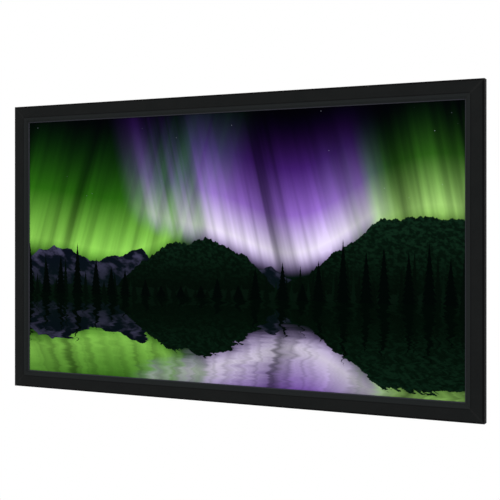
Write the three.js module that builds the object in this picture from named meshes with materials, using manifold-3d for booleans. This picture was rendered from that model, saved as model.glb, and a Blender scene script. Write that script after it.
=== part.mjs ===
// A fixed frame projector screen: four mitred aluminium rails wrapped in black velvet, joined
// by steel corner keys, with a vinyl cloth snapped on behind and four brackets to hang it by.
// Millimetres, +Z up, front towards -Y. The origin is on the wall, behind the middle of the screen.
import * as THREE from "three";
import { mergeVertices } from "three/addons/utils/BufferGeometryUtils.js";
import Module from "manifold-3d";

// Picture and frame
const pictureWidth = 2032;
const pictureHeight = 1143;
const railWidth = 76.2;
const railDepth = 38;
const pictureRecess = 17.3;
const wallStandoff = 3;
const fitGap = 0.3;
const mitreTrim = 0.2;

// Visible outline of a rail: a low chamfer outside, a flat face, then a bevel in two facets
const edgeChamferWidth = 8;
const edgeChamferDrop = 3;
const bevelWidth = 24;
const bevelBreakIn = 11.8;
const bevelBreakDrop = 4;
const lipHeight = 3.2;
const rearRadius = 1.6;
const edgeRadius = 3;
const faceRadius = 6;
const bevelRadius = 5;
const lipRadius = 1.4;
const arcStep = Math.PI / 10;
const leastRadius = 0.5;

// Velvet, glued round each rail and tucked in behind both of its edges
const velvetThickness = 1;
const velvetRearTuck = 9;
const velvetLipTuck = 8.2;

// Extruded aluminium
const metalWall = 1.8;
const channelWall = 2.2;
const channelWidth = 44.3;
const channelDepth = 10;
const returnLip = 8.2;

// Corner keys and their grub screws
const keyLeg = 165;
const keyThickness = 4;
const keyScrewStations = [80, 140];
const keyEndChamfer = 6;
const grubRadius = 3;
const grubTail = 1.4;
const grubSocketAcross = 3;
const grubSocketDepth = 4;
const grubSocketSides = 6;

// Snap fasteners
const snapPitch = 160;
const snapEndMargin = 60;
const snapFlangeRadius = 5;
const snapFlangeHeight = 1;
const snapPostRadius = 2.1;
const snapHeadRadius = 2.6;
const snapHeadHeight = 0.9;
const snapClearance = 0.4;
const socketRadius = 6.5;
const socketHeight = 2.2;
const socketSeat = 0.2;
const snapSides = 8;

// Cloth and the webbing sewn along its edges
const clothThickness = 0.4;
const bindingWidth = 14;
const bindingThickness = 1.2;
const bindingStandoff = 3.5;

// Centre brace with its end plates and screws
const braceWidth = 30;
const braceWall = 1.5;
const braceClearance = 1;
const bracePlateWidth = 62;
const bracePlateReach = 58;
const bracePlateThickness = 2;
const bracePlateCorner = 5;
const braceScrewAcross = 42;
const braceScrewAlong = 26;
const braceScrewMargin = 10.3;
const screwRadius = 1.9;
const screwLength = 7;
const screwTipRadius = 1;
const screwTipTaper = 1.1;
const screwHeadRadius = 3.6;
const screwHeadHeight = 1.6;
const screwRimHeight = 0.7;
const screwCrownRadius = 2.6;
const screwSeatGap = 0.05;
const screwClearance = 0.3;
const screwSides = 10;

// Wall brackets, bent from strip
const bracketLength = 90;
const bracketThickness = 2.5;
const bracketBend = 1.5;
const bracketDrop = 3;
const upperPlateHeight = 48;
const lowerPlateHeight = 24;
const bracketSpacing = 1080;
const slotLength = 16;
const slotWidth = 6.5;
const slotSpacing = 50;
const slotFoot = 11;

// Sizes that follow from those above
const frameWidth = pictureWidth + 2 * railWidth;
const frameHeight = pictureHeight + 2 * railWidth;
const skin = velvetThickness + fitGap;
const clothFront = railDepth - pictureRecess;
const clothRear = clothFront - clothThickness;
const tuckRear = clothFront + fitGap;
const ledgeRear = tuckRear + skin;
const channelOuter = skin + channelWall;
const channelInner = channelOuter + channelWidth;
const webOuter = channelInner + channelWall;
const channelRear = skin + channelWall;
const channelFloor = channelRear + channelDepth;
const bindingFront = clothRear - fitGap;
const bindingRear = bindingFront - bindingThickness;
const clothEdge = webOuter + bindingStandoff;
const snapLine = clothEdge + bindingWidth / 2;
const snapHole = snapHeadRadius + snapClearance;
const socketRear = bindingRear - socketHeight;

// How near two points are one, and how far a cut runs past the face that it opens
const mergeDistance = 1e-4;
const cutOverrun = 1;

const wasm = await Module();
wasm.setup();

const finishes = {
  velvet: new THREE.MeshStandardMaterial({ color: 0x1c1c1d, roughness: 0.95, metalness: 0 }),
  aluminium: new THREE.MeshStandardMaterial({ color: 0xa9abad, roughness: 0.4, metalness: 1 }),
  vinyl: new THREE.MeshStandardMaterial({ color: 0xeeeeea, roughness: 0.85, metalness: 0 }),
  webbing: new THREE.MeshStandardMaterial({ color: 0x26262a, roughness: 0.9, metalness: 0 }),
  zinc: new THREE.MeshStandardMaterial({ color: 0x9fa2a3, roughness: 0.35, metalness: 1 }),
  blackSteel: new THREE.MeshStandardMaterial({ color: 0x202122, roughness: 0.55, metalness: 0.3 }),
};

// Solids

function solid(geometry) {
  const bare = geometry.clone();
  bare.deleteAttribute("normal");
  bare.deleteAttribute("uv");
  const merged = mergeVertices(bare, mergeDistance);
  return new wasm.Manifold(
    new wasm.Mesh({
      numProp: 3,
      vertProperties: new Float32Array(merged.attributes.position.array),
      triVerts: new Uint32Array(merged.index.array),
    }),
  );
}

function surface(body) {
  const mesh = body.getMesh();
  const geometry = new THREE.BufferGeometry();
  geometry.setAttribute("position", new THREE.BufferAttribute(mesh.vertProperties, 3));
  geometry.setIndex(new THREE.BufferAttribute(mesh.triVerts, 1));
  const faceted = geometry.toNonIndexed();
  faceted.computeVertexNormals();
  return faceted;
}

function cut(geometry, cutters) {
  return surface(cutters.reduce((body, cutter) => body.subtract(solid(cutter)), solid(geometry)));
}

function join(geometry, additions) {
  return surface(additions.reduce((body, extra) => body.add(solid(extra)), solid(geometry)));
}

// Outlines: a corner is a point of a path with the radius it is bent or rounded to

const corner = (x, y, radius = 0) => ({ x, y, radius });

// Moves a path to its right by a distance, keeping its bends concentric.
function offsetPath(corners, distance) {
  const sides = corners.slice(1).map((end, i) => {
    const along = new THREE.Vector2(end.x - corners[i].x, end.y - corners[i].y).normalize();
    return { along, across: new THREE.Vector2(along.y, -along.x) };
  });
  return corners.map((at, i) => {
    const before = sides[Math.max(i - 1, 0)];
    const after = sides[Math.min(i, sides.length - 1)];
    const turn = after.along.x * before.along.y - after.along.y * before.along.x;
    const mean = before.across.clone().add(after.across).normalize();
    const reach = distance / mean.dot(before.across);
    const bent = at.radius - distance * Math.sign(turn);
    const radius = at.radius && bent > leastRadius ? bent : 0;
    return corner(at.x + mean.x * reach, at.y + mean.y * reach, radius);
  });
}

function roundedPoints(corners) {
  const points = [];
  corners.forEach((at, i) => {
    const here = new THREE.Vector2(at.x, at.y);
    if (!at.radius || i === 0 || i === corners.length - 1) {
      points.push(here);
      return;
    }
    const back = new THREE.Vector2(corners[i - 1].x, corners[i - 1].y).sub(here).normalize();
    const ahead = new THREE.Vector2(corners[i + 1].x, corners[i + 1].y).sub(here).normalize();
    const half = Math.acos(THREE.MathUtils.clamp(back.dot(ahead), -1, 1)) / 2;
    const start = here.clone().addScaledVector(back, at.radius / Math.tan(half));
    const middle = back.clone().add(ahead).normalize();
    const centre = here.clone().addScaledVector(middle, at.radius / Math.sin(half));
    const sweep = (Math.PI - 2 * half) * Math.sign(ahead.x * back.y - ahead.y * back.x);
    const steps = Math.max(1, Math.ceil(Math.abs(sweep) / arcStep));
    for (let k = 0; k <= steps; k += 1) {
      points.push(start.clone().rotateAround(centre, (sweep * k) / steps));
    }
  });
  return points;
}

function stripShape(path, thickness) {
  const right = roundedPoints(offsetPath(path, thickness / 2));
  const left = roundedPoints(offsetPath(path, -thickness / 2));
  return new THREE.Shape([...right, ...left.reverse()]);
}

function circleHole(x, y, radius, sides = snapSides) {
  const points = Array.from({ length: sides }, (_, i) => {
    const angle = (2 * Math.PI * i) / sides;
    return new THREE.Vector2(x + radius * Math.cos(angle), y + radius * Math.sin(angle));
  });
  return new THREE.Path(points);
}

// A rectangle with round corners about a middle point, or a slot where they meet.
function roundedRectangle(x, y, width, height, radius) {
  const foot = corner(x, y - height / 2);
  const points = roundedPoints([
    foot,
    corner(x + width / 2, y - height / 2, radius),
    corner(x + width / 2, y + height / 2, radius),
    corner(x - width / 2, y + height / 2, radius),
    corner(x - width / 2, y - height / 2, radius),
    foot,
  ]);
  const apart = points.filter((point, i) => point.distanceTo(points.at(i - 1)) > mergeDistance);
  return new THREE.Shape(apart);
}

// Places in a side of the frame: along it (x), in from its outer edge (towards -z) and forward
// from its rear (towards -y). The four sides are the same group turned about Y.

function extrude(shape, length) {
  return new THREE.ExtrudeGeometry(shape, { depth: length, bevelEnabled: false });
}

// A bar along the side, its section drawn as (in from the edge, forward from the rear).
function bar(section, length) {
  const geometry = extrude(section, length);
  geometry.translate(0, 0, -length / 2);
  const basis = new THREE.Matrix4().makeBasis(
    new THREE.Vector3(0, 0, -1),
    new THREE.Vector3(0, -1, 0),
    new THREE.Vector3(-1, 0, 0),
  );
  return geometry.applyMatrix4(basis);
}

// The same bar with both ends cut at 45 degrees, so that it is longest at the outer edge.
function mitredBar(section, length) {
  const geometry = bar(section, length);
  const position = geometry.attributes.position;
  for (let i = 0; i < position.count; i += 1) {
    const inward = -position.getZ(i);
    position.setX(i, Math.sign(position.getX(i)) * (length / 2 - inward - mitreTrim));
  }
  return geometry;
}

// A flat piece drawn as (along, in from the edge), between two distances forward of the rear.
function plate(shape, rear, front) {
  const geometry = extrude(shape, front - rear);
  return geometry.rotateX(-Math.PI / 2).translate(0, -front, 0);
}

function disc(radius, rear, front, along, inward, sides = snapSides) {
  const geometry = new THREE.CylinderGeometry(radius, radius, front - rear, sides);
  return geometry.translate(along, -(rear + front) / 2, -inward);
}

function part(name, geometry, finish) {
  const mesh = new THREE.Mesh(geometry, finish);
  mesh.name = name;
  return mesh;
}

// Section of a rail and its velvet

const visibleOutline = [
  corner(0, 0, rearRadius),
  corner(0, railDepth - edgeChamferDrop, edgeRadius),
  corner(edgeChamferWidth, railDepth, faceRadius),
  corner(railWidth - bevelWidth, railDepth, bevelRadius),
  corner(railWidth - bevelWidth + bevelBreakIn, railDepth - bevelBreakDrop, bevelRadius),
  corner(railWidth, tuckRear + lipHeight, lipRadius),
  corner(railWidth, tuckRear, lipRadius),
];

function velvetSection() {
  const outside = [
    corner(velvetRearTuck, 0),
    ...visibleOutline,
    corner(railWidth - velvetLipTuck, tuckRear),
  ];
  const inside = offsetPath(outside, velvetThickness);
  return new THREE.Shape([...roundedPoints(outside), ...roundedPoints(inside).reverse()]);
}

function railSection() {
  const closed = [corner(velvetRearTuck, 0), ...visibleOutline, corner(webOuter, tuckRear)];
  const front = offsetPath(closed, skin).slice(1, -1);
  const clockwise = [
    ...roundedPoints([corner(channelOuter + returnLip, skin), ...front, corner(webOuter, ledgeRear)]),
    new THREE.Vector2(webOuter, skin),
    new THREE.Vector2(channelInner - returnLip, skin),
    new THREE.Vector2(channelInner - returnLip, channelRear),
    new THREE.Vector2(channelInner, channelRear),
    new THREE.Vector2(channelInner, channelFloor),
    new THREE.Vector2(channelOuter, channelFloor),
    new THREE.Vector2(channelOuter, channelRear),
    new THREE.Vector2(channelOuter + returnLip, channelRear),
  ];
  const outline = new THREE.Shape(clockwise.reverse());
  outline.holes.push(chamber(offsetPath(closed, skin + metalWall)));
  return outline;
}

// The hollow in front of the channel, a wall's thickness inside the rail all the way round.
function chamber(inside) {
  const floor = channelFloor + metalWall;
  const ledge = ledgeRear + metalWall;
  const [, , side, chamfer, face, bend, lip] = inside;
  const share = (bend.y - ledge) / (bend.y - lip.y);
  const tip = corner(bend.x + (lip.x - bend.x) * share, ledge);
  const crown = roundedPoints([corner(side.x, floor), side, chamfer, face, bend, tip]);
  return new THREE.Path([
    ...crown,
    new THREE.Vector2(webOuter - metalWall, ledge),
    new THREE.Vector2(webOuter - metalWall, floor),
  ]);
}

// Snap stations along an opening, spread evenly from end to end.
function snapStations(opening) {
  const span = opening - 2 * snapEndMargin;
  const count = Math.max(2, Math.round(span / snapPitch) + 1);
  return Array.from({ length: count }, (_, i) => -span / 2 + (span * i) / (count - 1));
}

function snapStud(along) {
  const neck = socketRear + snapHeadHeight;
  const base = ledgeRear - snapFlangeHeight;
  return [
    disc(snapFlangeRadius, base, ledgeRear + metalWall / 2, along, snapLine),
    disc(snapPostRadius, neck - snapHeadHeight / 2, base + snapFlangeHeight / 2, along, snapLine),
    disc(snapHeadRadius, socketRear, neck, along, snapLine),
  ];
}

// One side of the frame: rail, velvet and the edge binding of the cloth

function braceScrewHole(along, inward, rear, front) {
  return disc(screwRadius + screwClearance, rear, front, along, inward, screwSides);
}

const braceLipLine = channelInner - returnLip / 2;

function rail(name, length, opening, braced) {
  const studs = snapStations(opening).flatMap(snapStud);
  const plain = join(mitredBar(railSection(), length), studs);
  if (!braced) return part(name, plain, finishes.aluminium);
  const holes = [-1, 1].map((side) =>
    braceScrewHole((side * braceScrewAcross) / 2, braceLipLine, 0, channelFloor - metalWall),
  );
  return part(name, cut(plain, holes), finishes.aluminium);
}

function edgeBinding(name, length, opening) {
  const section = new THREE.Shape([
    new THREE.Vector2(clothEdge, bindingRear),
    new THREE.Vector2(clothEdge, bindingFront),
    new THREE.Vector2(clothEdge + bindingWidth, bindingFront),
    new THREE.Vector2(clothEdge + bindingWidth, bindingRear),
  ]);
  const stations = snapStations(opening);
  const seat = bindingRear + socketSeat;
  const sockets = stations.map((s) => disc(socketRadius, socketRear, seat, s, snapLine, snapSides));
  const holes = stations.map((s) =>
    disc(snapHole, socketRear - cutOverrun, bindingFront + cutOverrun, s, snapLine),
  );
  return part(name, cut(join(mitredBar(section, length), sockets), holes), finishes.webbing);
}

function side(name, length, opening, braced) {
  const group = new THREE.Group();
  group.add(rail(`${name}_rail`, length, opening, braced));
  group.add(part(`${name}_velvet_wrap`, mitredBar(velvetSection(), length), finishes.velvet));
  group.add(edgeBinding(`${name}_edge_binding`, length, opening));
  return group;
}

// Corner keys: an L of steel in the channels of two rails, with grub screws that jack it
// against the channels' return lips. Drawn from the outer corner of the frame.

const keyRear = channelRear + fitGap;
const keyFront = keyRear + keyThickness;
const keyNear = channelOuter + fitGap;
const keyFar = channelInner - fitGap;
const keyMiddle = (keyNear + keyFar) / 2;

function keyShape() {
  const end = keyNear + keyLeg;
  const shape = new THREE.Shape([
    new THREE.Vector2(keyNear + keyEndChamfer, keyNear),
    new THREE.Vector2(end - keyEndChamfer, keyNear),
    new THREE.Vector2(end, keyNear + keyEndChamfer),
    new THREE.Vector2(end, keyFar - keyEndChamfer),
    new THREE.Vector2(end - keyEndChamfer, keyFar),
    new THREE.Vector2(keyFar, keyFar),
    new THREE.Vector2(keyFar, end - keyEndChamfer),
    new THREE.Vector2(keyFar - keyEndChamfer, end),
    new THREE.Vector2(keyNear + keyEndChamfer, end),
    new THREE.Vector2(keyNear, end - keyEndChamfer),
    new THREE.Vector2(keyNear, keyNear + keyEndChamfer),
  ]);
  keyScrewPlaces().forEach(([x, y]) => {
    shape.holes.push(circleHole(x, y, grubRadius + fitGap, screwSides));
  });
  return shape;
}

function keyScrewPlaces() {
  const along = keyScrewStations.map((s) => [s, keyMiddle]);
  return [...along, ...along.map(([x, y]) => [y, x])];
}

function grubScrew() {
  const rear = keyRear - grubTail;
  const socket = new THREE.CylinderGeometry(
    grubSocketAcross / 2,
    grubSocketAcross / 2,
    2 * grubSocketDepth,
    grubSocketSides,
  );
  socket.translate(0, -rear, 0);
  return cut(disc(grubRadius, rear, channelFloor - fitGap, 0, 0, screwSides), [socket]);
}

function cornerJoint(name) {
  const group = new THREE.Group();
  group.add(part(`corner_key_${name}`, plate(keyShape(), keyRear, keyFront), finishes.zinc));
  keyScrewPlaces().forEach(([x, y], i) => {
    const screw = part(`key_screw_${name}_${i + 1}`, grubScrew(), finishes.blackSteel);
    screw.position.set(x, 0, -y);
    group.add(screw);
  });
  return group;
}

// Screen cloth, with a hole for each snap

function screenCloth() {
  const halfWidth = frameWidth / 2 - clothEdge;
  const halfHeight = frameHeight / 2 - clothEdge;
  const shape = new THREE.Shape([
    new THREE.Vector2(-halfWidth, -halfHeight),
    new THREE.Vector2(halfWidth, -halfHeight),
    new THREE.Vector2(halfWidth, halfHeight),
    new THREE.Vector2(-halfWidth, halfHeight),
  ]);
  const acrossLine = frameHeight / 2 - snapLine;
  const uprightLine = frameWidth / 2 - snapLine;
  [-1, 1].forEach((end) => {
    snapStations(pictureWidth).forEach((x) => {
      shape.holes.push(circleHole(x, end * acrossLine, snapHole));
    });
    snapStations(pictureHeight).forEach((z) => {
      shape.holes.push(circleHole(end * uprightLine, z, snapHole));
    });
  });
  return part("screen_cloth", plate(shape, clothRear, clothFront), finishes.vinyl);
}

// Centre brace: a flat aluminium tube between the long rails, with a steel plate on each end

const braceRear = skin;
const braceFront = socketRear - braceClearance;
const braceLength = frameHeight - 2 * (webOuter + fitGap);
const bracePlateFront = braceRear - fitGap;
const bracePlateRear = bracePlateFront - bracePlateThickness;
const bracePlateEdge = channelInner - returnLip;
const braceTubeLine = bracePlateEdge + bracePlateReach - braceScrewMargin;

function braceScrewPlaces() {
  const lip = [-1, 1].map((side) => [(side * braceScrewAcross) / 2, braceLipLine]);
  const tube = [0, 1].map((row) => [0, braceTubeLine - row * braceScrewAlong]);
  return [...lip, ...tube];
}

function centreBrace() {
  const depth = braceFront - braceRear;
  const rectangle = (inset) => [
    new THREE.Vector2(-braceWidth / 2 + inset, braceRear + inset),
    new THREE.Vector2(braceWidth / 2 - inset, braceRear + inset),
    new THREE.Vector2(braceWidth / 2 - inset, braceRear + depth - inset),
    new THREE.Vector2(-braceWidth / 2 + inset, braceRear + depth - inset),
  ];
  const section = new THREE.Shape(rectangle(0));
  section.holes.push(new THREE.Path(rectangle(braceWall)));
  const tube = extrude(section, braceLength);
  tube.translate(0, 0, -braceLength / 2).rotateX(Math.PI);
  const holes = [-1, 1].flatMap((end) =>
    [0, 1].map((row) => {
      const height = end * (frameHeight / 2 - braceTubeLine + row * braceScrewAlong);
      return braceScrewHole(0, -height, braceRear - cutOverrun, braceRear + braceWall + cutOverrun);
    }),
  );
  return part("centre_brace", cut(tube, holes), finishes.aluminium);
}

function panScrew() {
  const seat = -bracePlateRear + screwSeatGap;
  const crown = seat + screwHeadHeight;
  const tip = seat - screwLength;
  const profile = [
    [0, tip],
    [screwTipRadius, tip],
    [screwRadius, tip + screwTipTaper],
    [screwRadius, seat],
    [screwHeadRadius, seat],
    [screwHeadRadius, seat + screwRimHeight],
    [screwCrownRadius, crown],
    [0, crown],
  ];
  return new THREE.LatheGeometry(
    profile.map(([radius, height]) => new THREE.Vector2(radius, height)),
    screwSides,
  );
}

function braceEnd(name) {
  const group = new THREE.Group();
  const shape = roundedRectangle(
    0,
    bracePlateEdge + bracePlateReach / 2,
    bracePlateWidth,
    bracePlateReach,
    bracePlateCorner,
  );
  braceScrewPlaces().forEach(([x, y]) => {
    shape.holes.push(circleHole(x, y, screwRadius + screwClearance, screwSides));
  });
  const flat = plate(shape, bracePlateRear, bracePlateFront);
  group.add(part(`brace_plate_${name}`, flat, finishes.zinc));
  braceScrewPlaces().forEach(([x, y], i) => {
    const screw = part(`brace_screw_${name}_${i + 1}`, panScrew(), finishes.zinc);
    screw.position.set(x, 0, -y);
    group.add(screw);
  });
  return group;
}

// Wall brackets: a Z of steel strip, flat on the wall, whose upturned flange stands behind a
// return lip of the rail and carries the rail on its top edge.

const bracketHalf = bracketThickness / 2;

// Heights are measured down from an outer edge of the frame: negative above it.
function wallBracket(name, flangeTop, lipEnd, plateHeight) {
  const flange = channelRear + fitGap + bracketHalf;
  const wall = -wallStandoff + bracketHalf;
  const shelf = lipEnd + bracketDrop + bracketHalf;
  const bend = bracketBend + bracketHalf;
  const path = [
    corner(flangeTop, flange),
    corner(shelf, flange, bend),
    corner(shelf, wall, bend),
    corner(shelf + plateHeight, wall),
  ];
  const strip = bar(stripShape(path, bracketThickness), bracketLength);
  const slotLine = shelf + plateHeight - slotFoot;
  const slots = [-1, 1].map((end) => {
    const x = (end * slotSpacing) / 2;
    const shape = roundedRectangle(x, slotLine, slotLength, slotWidth, slotWidth / 2);
    const front = -wallStandoff + bracketThickness;
    return plate(shape, -wallStandoff - cutOverrun, front + cutOverrun);
  });
  return part(name, cut(strip, slots), finishes.blackSteel);
}

function wallBrackets() {
  const group = new THREE.Group();
  [["left", -1], ["right", 1]].forEach(([end, sign]) => {
    const upper = wallBracket(
      `wall_bracket_upper_${end}`,
      channelOuter + fitGap,
      channelOuter + returnLip,
      upperPlateHeight,
    );
    const lower = wallBracket(
      `wall_bracket_lower_${end}`,
      -channelInner + fitGap,
      -channelInner + returnLip,
      lowerPlateHeight,
    );
    upper.position.set((sign * bracketSpacing) / 2, 0, frameHeight / 2);
    lower.position.set((sign * bracketSpacing) / 2, 0, -frameHeight / 2);
    group.add(upper, lower);
  });
  return group;
}

// The screen, hung on the wall

const screen = new THREE.Group();
screen.position.y = -wallStandoff;

function add(piece, x, z, quarterTurns) {
  piece.position.set(x, 0, z);
  piece.rotation.y = (quarterTurns * Math.PI) / 2;
  screen.add(piece);
}

add(side("top", frameWidth, pictureWidth, true), 0, frameHeight / 2, 0);
add(side("right", frameHeight, pictureHeight, false), frameWidth / 2, 0, 1);
add(side("bottom", frameWidth, pictureWidth, true), 0, -frameHeight / 2, 2);
add(side("left", frameHeight, pictureHeight, false), -frameWidth / 2, 0, 3);
add(cornerJoint("top_left"), -frameWidth / 2, frameHeight / 2, 0);
add(cornerJoint("top_right"), frameWidth / 2, frameHeight / 2, 1);
add(cornerJoint("bottom_right"), frameWidth / 2, -frameHeight / 2, 2);
add(cornerJoint("bottom_left"), -frameWidth / 2, -frameHeight / 2, 3);
add(braceEnd("top"), 0, frameHeight / 2, 0);
add(braceEnd("bottom"), 0, -frameHeight / 2, 2);
screen.add(screenCloth(), centreBrace(), wallBrackets());

export default screen;
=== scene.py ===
import math

import bmesh
import bpy
import numpy as np
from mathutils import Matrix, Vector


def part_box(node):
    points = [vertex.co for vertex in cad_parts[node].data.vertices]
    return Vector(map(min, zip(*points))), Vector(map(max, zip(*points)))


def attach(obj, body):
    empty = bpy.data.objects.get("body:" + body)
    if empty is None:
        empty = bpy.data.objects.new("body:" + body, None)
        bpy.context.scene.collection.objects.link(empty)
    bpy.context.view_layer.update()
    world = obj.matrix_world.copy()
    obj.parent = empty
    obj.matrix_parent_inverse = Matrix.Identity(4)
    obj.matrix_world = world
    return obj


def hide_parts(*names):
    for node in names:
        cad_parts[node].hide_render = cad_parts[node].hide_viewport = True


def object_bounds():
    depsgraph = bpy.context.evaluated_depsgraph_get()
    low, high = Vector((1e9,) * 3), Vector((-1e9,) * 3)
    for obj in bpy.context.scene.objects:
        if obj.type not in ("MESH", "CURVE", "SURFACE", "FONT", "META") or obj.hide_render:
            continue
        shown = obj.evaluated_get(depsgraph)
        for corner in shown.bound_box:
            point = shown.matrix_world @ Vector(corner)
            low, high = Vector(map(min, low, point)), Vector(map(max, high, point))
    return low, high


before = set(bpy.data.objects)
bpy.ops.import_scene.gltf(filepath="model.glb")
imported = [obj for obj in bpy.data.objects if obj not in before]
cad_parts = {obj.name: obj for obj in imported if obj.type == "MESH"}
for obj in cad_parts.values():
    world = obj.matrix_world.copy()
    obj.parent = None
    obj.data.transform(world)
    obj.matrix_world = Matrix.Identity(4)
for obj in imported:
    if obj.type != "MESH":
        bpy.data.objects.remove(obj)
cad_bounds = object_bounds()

# Camera
# It stands to the right of the screen and a little above its middle, and looks level to the left.
# The photograph is framed a little low, which is the shift.
scene = bpy.context.scene
frame_low, frame_high = cad_bounds
photo_width = 500
focal_pixels = 1027
horizon_pixel = 226.6
camera_right, camera_front, camera_up = 1.955, 3.837, 0.092
camera_turn = 25.53
camera_data = bpy.data.cameras.new("camera")
camera_data.sensor_width = 36
camera_data.lens = focal_pixels / photo_width * camera_data.sensor_width
camera_data.shift_y = (horizon_pixel - photo_width / 2) / photo_width
camera_data.clip_end = 60
camera = bpy.data.objects.new("camera", camera_data)
camera.location = (camera_right, frame_low.y - camera_front, camera_up)
camera.rotation_euler = (math.radians(90), 0, math.radians(camera_turn))
scene.collection.objects.link(camera)
scene.camera = camera


# Rails
# Four aluminium extrusions, mill finished and sawn to 45 degrees at both ends. They stay as built,
# and show only from behind, where the velvet doesn't reach.
class Wire:
    """A socket of a material. Arithmetic on it adds Math nodes, and node() adds any other node."""

    def __init__(self, tree, socket=None):
        self.tree = tree
        self.socket = socket

    def node(self, kind, settings, sockets, output=0):
        made = self.tree.nodes.new(kind)
        for name, value in settings.items():
            if name == "stops":
                self.fill_ramp(made.color_ramp, value)
            else:
                setattr(made, name, value)
        for name, value in sockets.items():
            if isinstance(value, Wire):
                self.tree.links.new(value.socket, made.inputs[name])
            else:
                made.inputs[name].default_value = value
        return Wire(self.tree, made.outputs[output] if made.outputs else None)

    @staticmethod
    def fill_ramp(ramp, stops):
        for place, _ in stops[len(ramp.elements):]:
            ramp.elements.new(place)
        for element, (place, colour) in zip(ramp.elements, stops):
            element.position = place
            element.color = (*colour, 1)

    def maths(self, operation, *values):
        return self.node("ShaderNodeMath", {"operation": operation}, dict(enumerate(values)))

    def __add__(self, other):
        return self.maths("ADD", self, other)

    def __radd__(self, other):
        return self.maths("ADD", other, self)

    def __sub__(self, other):
        return self.maths("SUBTRACT", self, other)

    def __rsub__(self, other):
        return self.maths("SUBTRACT", other, self)

    def __mul__(self, other):
        return self.maths("MULTIPLY", self, other)

    def __rmul__(self, other):
        return self.maths("MULTIPLY", other, self)

    def __truediv__(self, other):
        return self.maths("DIVIDE", self, other)

    def __pow__(self, other):
        return self.maths("POWER", self, other)

    def __abs__(self):
        return self.maths("ABSOLUTE", self)

    def above(self, least):
        return self.maths("MAXIMUM", self, least)

    def below(self, most):
        return self.maths("MINIMUM", self, most)

    def sine(self):
        return self.maths("SINE", self)

    def step(self, low, high, start=0.0, end=1.0):
        """A soft step from start to end as the value goes from low to high."""
        sockets = {0: self, 1: low, 2: high, 3: start, 4: end}
        return self.node("ShaderNodeMapRange", {"interpolation_type": "SMOOTHSTEP"}, sockets)

    def mix(self, under, over, blend="MIX"):
        """The colour over laid on the colour under, as far as this value says."""
        settings = {"data_type": "RGBA", "blend_type": blend}
        return self.node("ShaderNodeMix", settings, {0: self, 6: under, 7: over}, 2)

    def ramp(self, *stops):
        return self.node("ShaderNodeValToRGB", {"stops": stops}, {"Fac": self})


def start_material(name):
    material = bpy.data.materials.new(name)
    material.use_nodes = True
    material.node_tree.nodes.clear()
    return material, Wire(material.node_tree)


def finish_material(material, wire, sockets):
    shader = wire.node("ShaderNodeBsdfPrincipled", {}, sockets)
    wire.node("ShaderNodeOutputMaterial", {}, {"Surface": shader})
    return material


def place_in(wire):
    """The point of the piece that is being shaded, in metres."""
    return wire.node("ShaderNodeTexCoord", {}, {}, "Object")


def split(wire):
    """The X, Y and Z of a point, or the three channels of a colour."""
    separated = wire.node("ShaderNodeSeparateXYZ", {}, {"Vector": wire}).socket.node
    return [Wire(wire.tree, axis) for axis in separated.outputs]


def noise(place, scale, stretch=(1, 1, 1), detail=2.0):
    """Blotches, that many to the metre, or as many times more along an axis as stretch says."""
    scaled = place.node("ShaderNodeMapping", {}, {"Vector": place, "Scale": stretch})
    sockets = {"Vector": scaled, "Scale": scale, "Detail": detail}
    return place.node("ShaderNodeTexNoise", {}, sockets)


def bump(height, strength, distance):
    """The shader's normal over a surface that rises with the height, up to the distance."""
    sockets = {"Height": height, "Strength": strength, "Distance": distance}
    return height.node("ShaderNodeBump", {}, sockets, "Normal")


def extruded_aluminium(name, stretch):
    """Mill finish, with the die's fine lines along the bar and faint blotches of oxide."""
    dull, bright = (0.44, 0.45, 0.46, 1), (0.58, 0.59, 0.60, 1)
    material, wire = start_material(name)
    place = place_in(wire)
    lines = noise(place, 60, stretch, detail=3)
    blotches = noise(place, 9, detail=4)
    return finish_material(material, wire, {
        "Base Color": blotches.mix(dull, bright),
        "Metallic": 1.0,
        "Roughness": lines.step(0.3, 0.7, 0.3, 0.46),
        "Normal": bump(lines, 0.12, 0.0004),
    })


def dress(node, material):
    """Gives a solid that stays as built its finish."""
    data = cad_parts[node].data
    data.materials.clear()
    data.materials.append(material)


along_bar, across_bar = 0.05, 12
level_aluminium = extruded_aluminium("aluminium_level", (along_bar, across_bar, across_bar))
upright_aluminium = extruded_aluminium("aluminium_upright", (across_bar, across_bar, along_bar))
for side in ("top", "bottom"):
    dress(f"{side}_rail", level_aluminium)
for side in ("left", "right"):
    dress(f"{side}_rail", upright_aluminium)


# Corner keys
# An L of zinc-plated steel in the channels of two rails, with four black grub screws that jack it
# against the return lips.
def zinc_plate():
    """Bright zinc, with the clouds of its passivation."""
    bluish, plain, yellowish = (0.46, 0.48, 0.51), (0.53, 0.54, 0.54), (0.56, 0.54, 0.48)
    material, wire = start_material("zinc_plate")
    place = place_in(wire)
    clouds = noise(place, 40, detail=3)
    grain = noise(place, 900, detail=1)
    return finish_material(material, wire, {
        "Base Color": clouds.ramp((0.35, bluish), (0.5, plain), (0.68, yellowish)),
        "Metallic": 1.0,
        "Roughness": clouds.step(0.3, 0.7, 0.28, 0.42),
        "Normal": bump(grain, 0.1, 0.0002),
    })


def black_oxide():
    """Blackened steel, still a little oily."""
    black, worn = (0.012, 0.012, 0.014, 1), (0.035, 0.035, 0.038, 1)
    material, wire = start_material("black_oxide")
    grain = noise(place_in(wire), 1200, detail=1)
    return finish_material(material, wire, {
        "Base Color": grain.mix(black, worn),
        "Metallic": 0.6,
        "Roughness": grain.step(0.3, 0.7, 0.3, 0.45),
    })


zinc = zinc_plate()
blackened = black_oxide()
for corner in ("top_left", "top_right", "bottom_right", "bottom_left"):
    dress(f"corner_key_{corner}", zinc)
    for number in (1, 2, 3, 4):
        dress(f"key_screw_{corner}_{number}", blackened)


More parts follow.
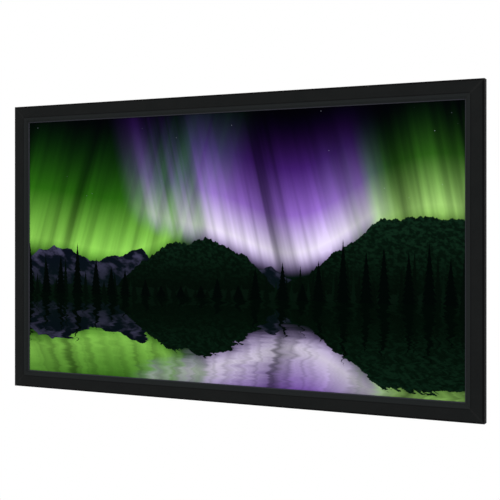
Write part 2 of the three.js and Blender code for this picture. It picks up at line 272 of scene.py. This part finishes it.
# Velvet wraps
# Black flocked velvet, about 1 mm thick, glued round each rail before it is mitred. It turns in
# behind the outer edge and behind the picture edge, and its pile parts along the mitres.
half_width = frame_high.x
half_height = frame_high.z
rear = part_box("top_velvet_wrap")[1].y
rail_width = 0.0762
rail_depth = 0.038
side_height = 0.035
chamfer_width = 0.008
crease = 0.051
lip_front, lip_rear = 0.0242, 0.021
outer_hem, inner_hem = 0.009, 0.0082
velvet_thickness = 0.001
mitre_gap = 0.00003

# The corners of the outline: in from the frame's outer edge, forward from its rear, and the radius
# of the bend there. It runs from the outer hem round the face to the hem behind the picture edge.
outline_corners = (
    (outer_hem, 0, 0),
    (0, 0, 0.0016),
    (0, side_height, 0.003),
    (chamfer_width, rail_depth, 0.006),
    (crease - 0.0012, rail_depth, 0.0012),
    (crease, rail_depth - 0.0005, 0.0006),
    (crease + 0.0014, rail_depth - 0.0003, 0.0016),
    (crease + 0.013, rail_depth - 0.004, 0.005),
    (rail_width, lip_front, 0.0014),
    (rail_width, lip_rear, 0.0014),
    (rail_width - inner_hem, lip_rear, 0),
)

# The ends of a wrap roll in at the mitre: distance from it, and how far the velvet is drawn in there.
rolled_ends = ((mitre_gap, 0.0004), (0.0003, 0.0002), (0.0007, 0.00005), (0.0014, 0.0), (0.004, 0.0))


def rounded(corners, steps):
    """A path through corners of (x, y, radius), with that many steps round each bend."""
    points = []
    for i, (x, y, radius) in enumerate(corners):
        here = np.array((x, y))
        if radius == 0:
            points.append(here)
            continue
        back = np.array(corners[i - 1][:2]) - here
        ahead = np.array(corners[i + 1][:2]) - here
        back /= np.linalg.norm(back)
        ahead /= np.linalg.norm(ahead)
        half = math.acos(float(back @ ahead)) / 2
        middle = (back + ahead) / np.linalg.norm(back + ahead)
        centre = here + middle * radius / math.sin(half)
        first = here + back * radius / math.tan(half) - centre
        turn = math.pi - 2 * half
        sign = math.copysign(1, back[1] * ahead[0] - back[0] * ahead[1])
        for k in range(steps + 1):
            angle = sign * turn * k / steps
            c, s = math.cos(angle), math.sin(angle)
            points.append(centre + np.array((c * first[0] - s * first[1], s * first[0] + c * first[1])))
    return np.array(points)


def wrap_section():
    """The closed section of the velvet: its outline, then back along its glued face."""
    outside = rounded(outline_corners, steps=8)
    along = np.gradient(outside, axis=0)
    along /= np.linalg.norm(along, axis=1)[:, None]
    inside = outside + velvet_thickness * np.column_stack((along[:, 1], -along[:, 0]))
    return np.vstack((outside, inside[::-1]))


def skin(mesh, loops):
    """Joins each loop of vertices to the next, and closes the first and the last."""
    for first, second in zip(loops, loops[1:]):
        for i in range(len(first)):
            j = (i + 1) % len(first)
            mesh.faces.new((first[i], first[j], second[j], second[i]))
    mesh.faces.new(loops[0][::-1])
    mesh.faces.new(loops[-1])


def finish_mesh(name, mesh, smooth_angle=40):
    """Turns a bmesh into an object, faces outward, with edges flatter than the angle shaded smooth."""
    bmesh.ops.recalc_face_normals(mesh, faces=mesh.faces)
    data = bpy.data.meshes.new(name)
    mesh.to_mesh(data)
    mesh.free()
    data.shade_smooth()
    data.set_sharp_from_angle(angle=math.radians(smooth_angle))
    made = bpy.data.objects.new(name, data)
    scene.collection.objects.link(made)
    return made


def mitred_sweep(name, half_length, section, stations, turn, centre):
    """Sweeps a closed section along a side of the frame, its ends cut at 45 degrees.

    A station is (distance from the mitre, how far the section is drawn in there). turn is the
    side's quarter turns about Y, and centre is the middle of the side's outer edge, at the rear.
    """
    mesh = bmesh.new()
    middle = section.mean(axis=0)
    loops = []
    for end in (-1, 1):
        ordered = stations if end < 0 else stations[::-1]
        for distance, pulled in ordered:
            pull = middle - section
            pull *= pulled / np.linalg.norm(pull, axis=1)[:, None]
            loop = []
            for inward, forward in section + pull:
                x, y, z = end * (half_length - inward - distance), -forward, -inward
                for _ in range(turn):
                    x, z = z, -x
                loop.append(mesh.verts.new((x + centre[0], y + centre[1], z + centre[2])))
            loops.append(loop)
    skin(mesh, loops)
    return finish_mesh(name, mesh)


def velvet():
    """Short black pile, with painted shade over the outer edge and a painted sheen down the bevel.

    Painted shade darkens the crease at the head of the bevel; painted highlights mark the parted
    mitres.
    """
    material, wire = start_material("black_velvet")
    place = place_in(wire)
    x, _, z = split(place)
    from_side, from_end = half_width - abs(x), half_height - abs(z)
    inward = from_side.below(from_end)
    pile = noise(place, 2600, detail=2)
    tufts = noise(place, 420, detail=3).step(0.30, 0.70)
    nap = noise(place, 14, detail=3).step(0.35, 0.65)
    lint = noise(place, 520, detail=1).step(0.74, 0.78)
    # Painted sheen: the bevel is paler than the flat face.
    bevel = inward.step(crease + 0.0016, crease + 0.005)
    # Painted shade: the outer chamfer and the side are darker than the face.
    outer_edge_shade = inward.step(chamfer_width - 0.001, chamfer_width + 0.0008, 1, 0)
    # Painted shade in the crease at the head of the bevel.
    crease_shade = abs(inward - crease - 0.0002).step(0.0008, 0.0026, 0.7, 0)
    # Painted highlight: a pale bluish line along the inner edge, by the picture.
    lip_highlight = abs(inward - rail_width + 0.001).step(0.0012, 0.0034, 0.9, 0)
    # The pile parts along each mitre, and a painted highlight lies there.
    parted_pile_highlight = abs(from_side - from_end).step(0.0, 0.007, 0.5, 0)
    # The layers below lay painted sheen, painted shade and painted highlights over the pile's own tone
    # and lint.
    layers = (
        (nap * 0.3, (0.0098, 0.0106, 0.0104, 1)),
        (bevel * 0.75, (0.0136, 0.0160, 0.0165, 1)),
        (outer_edge_shade, (0.0022, 0.0023, 0.0024, 1)),
        (crease_shade, (0.0034, 0.0036, 0.0040, 1)),
        (lip_highlight, (0.0330, 0.0340, 0.0440, 1)),
        (parted_pile_highlight, (0.0150, 0.0152, 0.0152, 1)),
        (lint * 0.2, (0.06, 0.06, 0.06, 1)),
    )
    colour = (pile * 0.6 + tufts * 0.4).mix((0.0034, 0.0040, 0.0041, 1), (0.0098, 0.0110, 0.0110, 1))
    for cover, tone in layers:
        colour = cover.mix(colour, tone)
    return finish_material(material, wire, {
        "Base Color": colour,
        "Roughness": 0.95,
        "Specular IOR Level": 0.1,
        "Sheen Weight": 0.05,
        "Sheen Roughness": 0.35,
        "Normal": bump(pile + tufts, 0.35, 0.0005),
    })


black_velvet = velvet()
wrap_loop = wrap_section()
sides = {
    "top": (half_width, 0, (0, rear, half_height)),
    "right": (half_height, 1, (half_width, rear, 0)),
    "bottom": (half_width, 2, (0, rear, -half_height)),
    "left": (half_height, 3, (-half_width, rear, 0)),
}
for side, (half_length, turn, centre) in sides.items():
    wrap = mitred_sweep(f"{side}_velvet", half_length, wrap_loop, rolled_ends, turn, centre)
    wrap.data.materials.append(black_velvet)
    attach(wrap, "root")
    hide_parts(f"{side}_velvet_wrap")


# Screen cloth
# One piece of matte vinyl, 0.4 mm thick with an opaque black back coat, punched for the snaps and
# pulled flat behind the picture edge. Its edges draw in a little between the snaps.
cloth_low, cloth_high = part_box("screen_cloth")
snap_inset = 0.007
snap_line_x = cloth_high.x - snap_inset
snap_line_z = cloth_high.z - snap_inset
snap_end_margin = 0.060
snap_hole_radius = 0.003
edge_draw = 0.0008


def snap_spots(half_frame, count):
    """Where the snaps sit along a side, evenly between two that keep clear of the corners."""
    reach = half_frame - rail_width - snap_end_margin
    return np.linspace(-reach, reach, count)


level_snaps = snap_spots(half_width, 13)
upright_snaps = snap_spots(half_height, 7)


def drawn_in(along, snaps):
    """How far an edge is pulled inward there: nothing at a snap, most halfway between two."""
    pitch = snaps[1] - snaps[0]
    between = np.abs(np.sin(math.pi * (along - snaps[0]) / pitch))
    return edge_draw * between * (np.abs(along) < snaps[-1])


def ring(x, z, radius, facets=20):
    """A circle of points round (x, z)."""
    turns = np.arange(facets) / facets * 2 * math.pi
    return np.column_stack((x + radius * np.cos(turns), z + radius * np.sin(turns)))


def edge_stations(corner, snaps):
    """The corner that an edge starts from, then stations from its first snap to its last."""
    stations_per_bay = 12
    bays = len(snaps) - 1
    return np.concatenate(([corner], np.linspace(snaps[0], snaps[-1], stations_per_bay * bays + 1)))


def cloth_outline():
    """The drawn-in outline of the cloth and the holes along it, as loops of (x, z)."""
    x = edge_stations(cloth_low.x, level_snaps)
    z = edge_stations(cloth_low.z, upright_snaps)
    level, upright = drawn_in(x, level_snaps), drawn_in(z, upright_snaps)
    outline = np.vstack((
        np.column_stack((x, cloth_low.z + level)),
        np.column_stack((cloth_high.x - upright, z)),
        np.column_stack((-x, cloth_high.z - level)),
        np.column_stack((cloth_low.x + upright, -z)),
    ))
    centres = [(along, end * snap_line_z) for along in level_snaps for end in (-1, 1)]
    centres += [(end * snap_line_x, along) for along in upright_snaps for end in (-1, 1)]
    return [outline, *(ring(*centre, snap_hole_radius) for centre in centres)]


def evaluated_mesh(thing):
    """The mesh that an object's curves or modifiers come to. The object itself goes."""
    data = bpy.data.meshes.new_from_object(thing.evaluated_get(bpy.context.evaluated_depsgraph_get()))
    bpy.data.objects.remove(thing)
    return data


def cloth_mesh():
    """Fills the outline and gives it the cloth's thickness. Its front takes the first material."""
    middle = (cloth_low.y + cloth_high.y) / 2
    curve = bpy.data.curves.new("cloth_outline", "CURVE")
    curve.dimensions = "2D"
    curve.fill_mode = "BOTH"
    curve.extrude = (cloth_high.y - cloth_low.y) / 2
    for points in cloth_outline():
        spline = curve.splines.new("POLY")
        spline.points.add(len(points) - 1)
        spline.use_cyclic_u = True
        for point, (x, z) in zip(spline.points, points):
            point.co = (x, z, 0, 1)
    flat = bpy.data.objects.new("cloth_outline", curve)
    scene.collection.objects.link(flat)
    mesh = bmesh.new()
    mesh.from_mesh(evaluated_mesh(flat))
    bmesh.ops.remove_doubles(mesh, verts=mesh.verts, dist=1e-6)
    for vertex in mesh.verts:
        x, z, height = vertex.co
        vertex.co = (x, middle - height, z)
    bmesh.ops.recalc_face_normals(mesh, faces=mesh.faces)
    for face in mesh.faces:
        face.material_index = 0 if face.normal.y < -0.5 else 1
    return finish_mesh("screen_sheet", mesh, 30)


# The height of the picture's shoreline, from the middle of the screen.
shore = -0.21


def streaks(x, z, across, along, seed, detail=2.0):
    """Noise with that many blotches to the metre across and along."""
    place = x.node("ShaderNodeCombineXYZ", {}, {"X": x * across, "Y": z * along, "Z": seed})
    sockets = {"Vector": place, "Scale": 1.0, "Detail": detail}
    return place.node("ShaderNodeTexNoise", {}, sockets)


def stars(colour, x, z):
    """Pin pricks of light, few of them bright."""
    place = x.node("ShaderNodeCombineXYZ", {}, {"X": x, "Y": z})
    sockets = {"Vector": place, "Scale": 30.0}
    away = place.node("ShaderNodeTexVoronoi", {}, sockets)
    luck, _, _ = split(place.node("ShaderNodeTexVoronoi", {}, sockets, "Color"))
    shine = (luck - away * 11).step(0.25, 0.95) * (z - shore).step(0.35, 0.50)
    return shine.mix(colour, (0.50, 0.54, 0.66, 1), "ADD")


def curtain(colour, x, z, reach, lowest, waves, height, rays, slant, seed, hues, blend):
    """One curtain of northern lights: it hangs to a waving edge and fades upward in slanting rays.

    reach is where it starts, is full, begins to fade and ends, from left to right. A wave of its
    edge is (swing, radians to the metre, start), and rays is how many there are to the metre.
    """
    edge = lowest
    for swing, pace, start in waves:
        edge = (x * pace + start).sine() * swing + edge
    rise = (z - edge) / height
    fan = x - rise * slant
    broad = streaks(fan, rise, rays, 0.30, seed).step(0.30, 0.66)
    fine = streaks(fan, rise, rays * 4, 0.45, seed + 5).step(0.2, 0.8)
    left, near_left, near_right, right = reach
    span = fan.step(left, near_left) * fan.step(near_right, right, 1, 0)
    fade = rise.step(-0.03, 0.12) * rise.step(-0.15, 1.05, 1, 0) ** 1.4
    light = fade * (broad * 0.85 + fine * 0.70) * span
    return light.mix(colour, rise.ramp(*hues), blend)


def mountains(colour, x, z):
    """A far ridge, with snow that takes up the colour of the sky."""
    ridge = streaks(x, x, 1.7, 0.4, 3.1, 7) * 0.62 - 0.20
    slope = streaks(x + z * 0.6, z, 16, 22, 1.7, 5).step(0.44, 0.64)
    snow = slope.mix((0.002, 0.004, 0.009, 1), (0.052, 0.050, 0.100, 1))
    shaded = ((z - shore) * 5).step(0.0, 1.1).mix((0.002, 0.006, 0.007, 1), snow)
    return (z - shore - ridge).step(-0.0015, 0.0015, 1, 0).mix(colour, shaded)


def hills(colour, x, z):
    """Two wooded hills behind the shore, one in the middle and one to the right."""
    spread = (x + 0.14) * 3.7
    middle = 0.235 - spread * spread * 0.10
    right = x.step(0.05, 0.85) * 0.33
    rolls = streaks(x, x, 7, 0.5, 2.2, 2) * 0.12
    treetops = streaks(x, x, 70, 3, 7.4, 6) * 0.036
    top = right.above(middle) + rolls + treetops - 0.072
    leaves = streaks(x + z * 0.3, z, 60, 85, 4.4, 5).step(0.40, 0.66)
    lit = ((z - shore) * 4).step(0.0, 1.3) * (leaves * 0.8 + 0.2)
    foliage = lit.mix((0.0004, 0.0026, 0.0012, 1), (0.0044, 0.0200, 0.0092, 1))
    return (z - shore - top).step(-0.001, 0.001, 1, 0).mix(colour, foliage)


def woods(colour, x, z):
    """The low far shore, grown over with scrub."""
    top = streaks(x, x, 34, 3, 5.2, 4) * 0.055 + streaks(x, x, 2.2, 0.3, 0.9) * 0.05 - 0.018
    return (z - shore - top).step(-0.001, 0.001, 1, 0).mix(colour, (0.0015, 0.0060, 0.0030, 1))


def chance(cell, salt):
    """A number from 0 to 1 that is the cell's own."""
    return cell.node("ShaderNodeTexWhiteNoise", {"noise_dimensions": "1D"}, {"W": cell + salt})


def firs(colour, x, z, per_metre, tallest, seed, shade):
    """A row of fir trees along the shore, one to a cell, each of its own height and place."""
    cell = x * per_metre + seed
    first = cell.maths("FLOOR", cell)
    height = (chance(first, 0.0) * 0.65 + 0.35) * abs(x + 0.15).step(0.1, 0.9, 0.40, 1.0) * tallest
    up = (z - shore) / height
    tier = up.maths("FRACT", up * 9 + chance(first, 0.7))
    width = (1 - up) * (0.36 - tier * 0.15)
    trunk = chance(first, 0.3) * 0.36 + 0.32
    return (width - abs(cell - first - trunk)).step(-0.01, 0.01).mix(colour, shade)


def picture():
    """A made-up night view: northern lights over a ridge, wooded hills and firs, above a lake.

    The lake mirrors all of it: below the shore the height is folded up again, a little rippled.
    """
    lake_tint = (0.0, 0.003, 0.001, 1)
    material, wire = start_material("picture")
    place = place_in(wire)
    x, _, z = split(place)
    below = (z - shore).step(-0.001, 0.001, 1, 0)
    ripple = streaks(x, z, 5, 55, 0.4, 3) - 0.5
    x = x + below * ripple * 0.09
    z = abs(z - shore) + shore + below * ripple * 0.05
    night = ((0.0, (0.0, 0.006, 0.002)), (0.3, (0.0, 0.002, 0.001)), (0.7, (0.0, 0.0, 0.001)))
    green = (
        (0.0, (0.12, 0.42, 0.03)),
        (0.12, (0.30, 0.70, 0.10)),
        (0.45, (0.05, 0.30, 0.01)),
        (1.0, (0.0, 0.10, 0.01)),
    )
    leaf_green = (
        (0.0, (0.18, 0.40, 0.06)),
        (0.15, (0.36, 0.64, 0.17)),
        (0.50, (0.06, 0.26, 0.02)),
        (1.0, (0.0, 0.08, 0.01)),
    )
    violet = (
        (0.0, (0.50, 0.36, 0.80)),
        (0.13, (0.86, 0.78, 0.98)),
        (0.36, (0.44, 0.22, 0.88)),
        (0.65, (0.22, 0.05, 0.66)),
        (1.0, (0.10, 0.0, 0.34)),
    )
    colour = stars((z - shore).ramp(*night), x, z)
    colour = curtain(
        colour, x, z, hues=green, blend="ADD", seed=2.3, reach=(-1.5, -1.1, -0.40, 0.05), lowest=0.0,
        waves=((0.09, 3.1, 0.5), (0.02, 8.0, 2.0)), height=0.70, rays=5, slant=0.20,
    )
    colour = curtain(
        colour, x, z, hues=leaf_green, blend="ADD", seed=6.1, reach=(0.40, 0.75, 1.1, 1.5), lowest=0.02,
        waves=((0.07, 3.6, 4.0), (0.02, 9.0, 0.4)), height=0.56, rays=6, slant=-0.10,
    )
    colour = curtain(
        colour, x, z, hues=violet, blend="MIX", seed=8.7, reach=(-0.50, -0.12, 0.48, 0.80), lowest=0.05,
        waves=((0.13, 3.4, 4.0), (0.03, 8.3, 1.7)), height=0.66, rays=5, slant=-0.16,
    )
    for layer in (mountains, hills, woods):
        colour = layer(colour, x, z)
    colour = firs(colour, x, z, per_metre=27, tallest=0.15, seed=0.3, shade=(0.0012, 0.0060, 0.0028, 1))
    colour = firs(colour, x, z, per_metre=19, tallest=0.22, seed=0.1, shade=(0.0005, 0.0028, 0.0014, 1))
    colour = firs(colour, x, z, per_metre=11, tallest=0.30, seed=0.8, shade=(0.0, 0.0012, 0.0008, 1))
    colour = (below * 0.30).mix(colour, lake_tint)
    grain = noise(place, 1800, detail=1)
    return finish_material(material, wire, {
        "Base Color": colour,
        "Roughness": 0.75,
        "Specular IOR Level": 0.01,
        "Normal": bump(grain, 0.1, 0.0002),
    })


def black_backing():
    """The opaque back coat, with a calendered grain."""
    dark, pale = (0.020, 0.021, 0.023, 1), (0.034, 0.035, 0.038, 1)
    material, wire = start_material("black_backing")
    place = place_in(wire)
    grain = noise(place, 1500, detail=2)
    clouds = noise(place, 5, detail=3)
    return finish_material(material, wire, {
        "Base Color": clouds.mix(dark, pale),
        "Roughness": 0.6,
        "Normal": bump(grain, 0.2, 0.0003),
    })


cloth = cloth_mesh()
cloth.data.materials.append(picture())
cloth.data.materials.append(black_backing())
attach(cloth, "root")
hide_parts("screen_cloth")


# Webbing and snaps
# Black nylon webbing is sewn round the back of the cloth with two rows of lockstitch, mitred at the
# corners. Nickel-plated sockets are set in it every 160 to 170 mm and snap over studs on the rails.
webbing_width = 0.014
webbing_thickness = 0.0012
webbing_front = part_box("top_edge_binding")[0].y
webbing_back = webbing_front + webbing_thickness
webbing_mitre_gap = 0.0002
stitch_pitch = 0.004
stitch_row_inset = 0.002
stitch_row_margin = 0.003


def woven_nylon():
    """A plain weave, glossy on the yarn's crowns, with painted highlights there and painted shade
    between.
    """
    hollow_shade, crest_highlight = (0.010, 0.010, 0.012, 1), (0.034, 0.034, 0.040, 1)
    material, wire = start_material("woven_nylon")
    place = place_in(wire)
    x, _, z = split(place)
    weave = (x * 4200).sine() * (z * 4200).sine()
    fuzz = noise(place, 700, detail=2)
    # Partly painted light: the weave pales the crowns as highlight and darkens between them as shade,
    # over the fuzz's random tone.
    crown = (weave * 0.3 + fuzz).step(0.2, 0.9)
    return finish_material(material, wire, {
        "Base Color": crown.mix(hollow_shade, crest_highlight),
        "Roughness": crown.step(0.0, 1.0, 0.8, 0.55),
        "Sheen Weight": 0.15,
        "Normal": bump(weave, 0.5, 0.0003),
    })


def sewing_thread():
    """Bonded polyester, with painted shade between the twisted plies and a painted highlight on each.
    """
    groove_shade, ply_highlight = (0.07, 0.07, 0.08, 1), (0.15, 0.15, 0.16, 1)
    material, wire = start_material("sewing_thread")
    x, _, z = split(place_in(wire))
    twist = ((x + z) * 9000).sine()
    return finish_material(material, wire, {
        # Painted shade and highlight follow the twist.
        "Base Color": twist.step(-1, 1).mix(groove_shade, ply_highlight),
        "Roughness": 0.5,
        "Normal": bump(twist, 0.4, 0.0002),
    })


def nickel_plate():
    """Warm bright plating, lightly brushed by tumbling."""
    dull, bright = (0.50, 0.47, 0.43, 1), (0.66, 0.63, 0.58, 1)
    material, wire = start_material("nickel_plate")
    place = place_in(wire)
    haze = noise(place, 300, detail=3)
    return finish_material(material, wire, {
        "Base Color": haze.mix(dull, bright),
        "Metallic": 1.0,
        "Roughness": haze.step(0.3, 0.7, 0.16, 0.30),
        "Normal": bump(noise(place, 1500, detail=1), 0.08, 0.0002),
    })


def turned(mesh, profile, centre, facets):
    """Turns a profile of (radius, y) about the line through the centre that runs along Y.

    The profile starts and ends on that line, or ends where it starts.
    """
    rings = []
    for radius, y in profile:
        if rings and (radius, y) == profile[0]:
            rings.append(rings[0])
        elif radius == 0:
            rings.append([mesh.verts.new((centre[0], y, centre[1]))] * facets)
        else:
            rings.append([mesh.verts.new((x, y, z)) for x, z in ring(*centre, radius, facets)])
    for first, second in zip(rings, rings[1:]):
        for i in range(facets):
            j = (i + 1) % facets
            corners = list(dict.fromkeys((first[i], first[j], second[j], second[i])))
            if len(corners) > 2:
                mesh.faces.new(corners)


def webbing_strip(mesh, half_length, line, snaps, lay):
    """The tape itself, with rounded selvedges and its ends mitred.

    lay turns (along the side, y, out from the middle of the screen) into a point of the model.
    """
    half, selvedge, stations = webbing_width / 2, 0.0004, 240
    section = [
        (-half, 0.2), (-half + selvedge, 0.0), (half - selvedge, 0.0), (half, 0.2),
        (half, 0.8), (half - selvedge, 1.0), (-half + selvedge, 1.0), (-half, 0.8),
    ]
    loops = []
    for t in np.linspace(-1, 1, stations):
        loop = []
        for inward, share in section:
            along = t * (half_length - half - inward - webbing_mitre_gap)
            sag = drawn_in(along, snaps) * (half - inward) / webbing_width
            y = webbing_front + webbing_thickness * share
            loop.append(mesh.verts.new(lay(along, y, line - inward - sag)))
        loops.append(loop)
    skin(mesh, loops)


def stitch(mesh, along, outward, lay):
    """One stitch: a low bead of thread, a little slanted, that dips into the tape at both ends."""
    half, wide, high_point, dip, slant = 0.00155, 0.00028, 0.00026, 0.0001, 0.00012
    shoulder = 0.62 * half
    spots = [(-half, 0, -dip), (half, 0, -dip)]
    for a in (-shoulder, shoulder):
        spots += [(a, -wide, 0), (a, 0, high_point), (a, wide, 0)]
    tail, head, *body = [
        mesh.verts.new(lay(along + a, webbing_back + up, outward + across + slant * a / half))
        for a, across, up in spots
    ]
    faces = [(body[0], body[3], body[5], body[2]), (tail, body[0], body[2]), (head, body[5], body[3])]
    for i in (0, 1):
        faces.append((body[i], body[i + 1], body[i + 4], body[i + 3]))
        faces.append((tail, body[i + 1], body[i]))
        faces.append((head, body[i + 3], body[i + 4]))
    for corners in faces:
        mesh.faces.new(corners).material_index = 1


def webbing(name, half_length, line, snaps, lay):
    """A tape with its two rows of stitches. The thread takes the second material."""
    mesh = bmesh.new()
    webbing_strip(mesh, half_length, line, snaps, lay)
    half = webbing_width / 2
    for row in (-1, 1):
        inward = row * (half - stitch_row_inset)
        reach = half_length - half - stitch_row_margin - inward
        for along in np.arange(-reach, reach, stitch_pitch):
            sag = drawn_in(along, snaps) / 2
            stitch(mesh, along, line - inward - sag, lay)
    return finish_mesh(name, mesh, 45)


def snap(mesh, x, z):
    """A rolled socket ring and, inside it, the head of the stud with its rounded brim."""
    foot = webbing_back - 0.0006
    inner, outer, flange = 0.0032, 0.0065, 0.0060
    middle, half = (inner + outer) / 2, (outer - inner) / 2
    shoulder, crown = webbing_back + 0.0008, 0.0013
    roll = [
        (middle - half * math.cos(t), shoulder + crown * math.sin(t))
        for t in np.linspace(0, math.pi, 10)
    ]
    skirt = [(outer, webbing_back - 0.0002), (flange, foot), (inner, foot)]
    turned(mesh, [(inner, foot), *roll, *skirt], (x, z), 28)
    neck, head, brim_radius = 0.0023, 0.00274, 0.0007
    brim_centre, top = webbing_back + 0.0017, webbing_back + 0.0025
    brim = [
        (head - brim_radius + brim_radius * math.cos(t), brim_centre + brim_radius * math.sin(t))
        for t in np.linspace(-1.0, math.pi / 2, 7)
    ]
    turned(mesh, [(0, foot), (neck, foot), (neck, brim[0][1]), *brim, (0, top)], (x, z), 20)


nylon, thread, nickel = woven_nylon(), sewing_thread(), nickel_plate()
tapes = {
    "top": (cloth_high.x, snap_line_z, level_snaps, lambda a, y, b: (a, y, b)),
    "right": (cloth_high.z, snap_line_x, upright_snaps, lambda a, y, b: (b, y, -a)),
    "bottom": (cloth_high.x, snap_line_z, level_snaps, lambda a, y, b: (-a, y, -b)),
    "left": (cloth_high.z, snap_line_x, upright_snaps, lambda a, y, b: (-b, y, a)),
}
for side, (half_length, line, snaps, lay) in tapes.items():
    tape = webbing(f"{side}_webbing", half_length, line, snaps, lay)
    tape.data.materials.append(nylon)
    tape.data.materials.append(thread)
    fasteners = bmesh.new()
    for along in snaps:
        x, _, z = lay(along, 0, line)
        snap(fasteners, x, z)
    snap_row = finish_mesh(f"{side}_snaps", fasteners, 50)
    snap_row.data.materials.append(nickel)
    for piece in (tape, snap_row):
        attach(piece, "root")
        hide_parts(f"{side}_edge_binding")


# Centre brace
# A rectangular aluminium tube stands between the long rails and stops the cloth from bowing them
# in. Each end is held by a zinc-plated plate and four pan-head screws with a cross recess.
screw_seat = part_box("brace_plate_top")[1].y
shank_radius = 0.0019
head_radius = 0.0036
turn_between_screws = 0.7


def cross_recess():
    """A tapering cross, as (height, how far an arm reaches, half its width) at its mouth and foot."""
    mouth = (screw_seat + 0.0022, 0.0023, 0.00045)
    foot = (screw_seat + 0.0004, 0.0010, 0.00030)
    mesh = bmesh.new()
    levels = []
    for y, reach, half in (mouth, foot):
        arm = [(reach, -half), (reach, half), (half, half)]
        outline = [
            (x * math.cos(turn) - z * math.sin(turn), x * math.sin(turn) + z * math.cos(turn))
            for turn in np.arange(4) * math.pi / 2
            for x, z in arm
        ]
        levels.append([mesh.verts.new((x, y, z)) for x, z in outline])
    skin(mesh, levels)
    return finish_mesh("screw_recess", mesh)


def pan_screw():
    """The head and shank of one screw, with its recess cut, drawn about the Y axis."""
    mesh = bmesh.new()
    brim, dome = screw_seat + 0.0004, 0.0012
    head = [(head_radius * math.cos(t), brim + dome * math.sin(t)) for t in np.linspace(0, 1.45, 9)]
    profile = [
        (0, screw_seat - 0.0070), (0.0011, screw_seat - 0.0068), (shank_radius, screw_seat - 0.0058),
        (shank_radius, screw_seat), (head_radius, screw_seat), *head, (0, head[-1][1]),
    ]
    turned(mesh, profile, (0, 0), 32)
    blank, cutter = finish_mesh("screw_blank", mesh), cross_recess()
    modifier = blank.modifiers.new("recess", "BOOLEAN")
    modifier.object = cutter
    modifier.solver = "EXACT"
    data = evaluated_mesh(blank)
    bpy.data.objects.remove(cutter)
    data.set_sharp_from_angle(angle=math.radians(35))
    return data


dress("centre_brace", upright_aluminium)
screw_mesh = pan_screw()
screw_mesh.materials.append(zinc)
for end in ("top", "bottom"):
    dress(f"brace_plate_{end}", zinc)
    for number in (1, 2, 3, 4):
        screw_low, screw_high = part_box(f"brace_screw_{end}_{number}")
        screw = bpy.data.objects.new(f"pan_screw_{end}_{number}", screw_mesh)
        screw.location = ((screw_low.x + screw_high.x) / 2, 0, (screw_low.z + screw_high.z) / 2)
        screw.rotation_euler = (0, number * turn_between_screws, 0)
        scene.collection.objects.link(screw)
        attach(screw, "root")
        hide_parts(f"brace_screw_{end}_{number}")


# Wall brackets
# Four Z brackets pressed from steel strip and powder coated black: two carry the top rail on their
# upturned flanges and two hold the bottom rail in. Each is slotted for its wall screws.
def powder_coat():
    """Black polyester powder, with its orange peel."""
    black, faded = (0.013, 0.013, 0.014, 1), (0.024, 0.024, 0.026, 1)
    material, wire = start_material("powder_coat")
    place = place_in(wire)
    peel = noise(place, 420, detail=2)
    tone = noise(place, 30, detail=3)
    return finish_material(material, wire, {
        "Base Color": tone.mix(black, faded),
        "Roughness": tone.step(0.3, 0.7, 0.42, 0.56),
        "Normal": bump(peel, 0.35, 0.0004),
    })


black_powder = powder_coat()
for level in ("upper", "lower"):
    for hand in ("left", "right"):
        dress(f"wall_bracket_{level}_{hand}", black_powder)


# Floor and light
# A plain white room. The floor lies well below the hung screen, and three soft lamps and the room
# itself light the object.
def pale_floor():
    """Painted pale, and as white as the room behind it farther out, so that no horizon shows."""
    pale_reach, white_from = 0.9, 1.9
    material, wire = start_material("pale_floor")
    x, y, _ = split(place_in(wire))
    away = ((x * x + y * y) ** 0.5).step(pale_reach, white_from)
    rays = wire.node("ShaderNodeLightPath", {}, {}, "Is Camera Ray")
    white = wire.node("ShaderNodeEmission", {}, {"Color": (1, 1, 1, 1), "Strength": 1.0})
    plain = wire.node("ShaderNodeBsdfDiffuse", {}, {"Color": (0.86, 0.86, 0.86, 1)})
    both = wire.node("ShaderNodeMixShader", {}, {0: away * rays, 1: plain, 2: white})
    wire.node("ShaderNodeOutputMaterial", {}, {"Surface": both})
    return material


floor_height = -1.55
floor_size = 40
bpy.ops.mesh.primitive_plane_add(size=floor_size, location=(0, 0, floor_height))
floor = bpy.context.object
floor.name = "floor"
floor.data.materials.append(pale_floor())

world = bpy.data.worlds.new("white_room")
scene.world = world
world.use_nodes = True
world.node_tree.nodes.clear()
sky = Wire(world.node_tree)
seen = sky.node("ShaderNodeLightPath", {}, {}, "Is Camera Ray")
mirrored = sky.node("ShaderNodeLightPath", {}, {}, "Is Glossy Ray")
fill_level = 0.72
backdrop = sky.node("ShaderNodeBackground", {}, {
    "Color": (1, 1, 1, 1),
    "Strength": fill_level + seen.above(mirrored) * (1 - fill_level),
})
sky.node("ShaderNodeOutputWorld", {}, {"Surface": backdrop})


def soft_lamp(name, location, size, power):
    """A square lamp that points at the middle of the screen."""
    data = bpy.data.lights.new(name, "AREA")
    data.size = size
    data.energy = power
    lamp = bpy.data.objects.new(name, data)
    lamp.location = location
    lamp.rotation_euler = (-lamp.location).to_track_quat("-Z", "Y").to_euler()
    scene.collection.objects.link(lamp)


soft_lamp("key_lamp", (2.9, -3.5, 2.2), 2.5, 76)
soft_lamp("fill_lamp", (-3.2, -3.2, 1.2), 2.5, 28)
soft_lamp("rear_lamp", (0.5, 3.6, 2.0), 4.2, 44)
scene.view_settings.view_transform = "Standard"
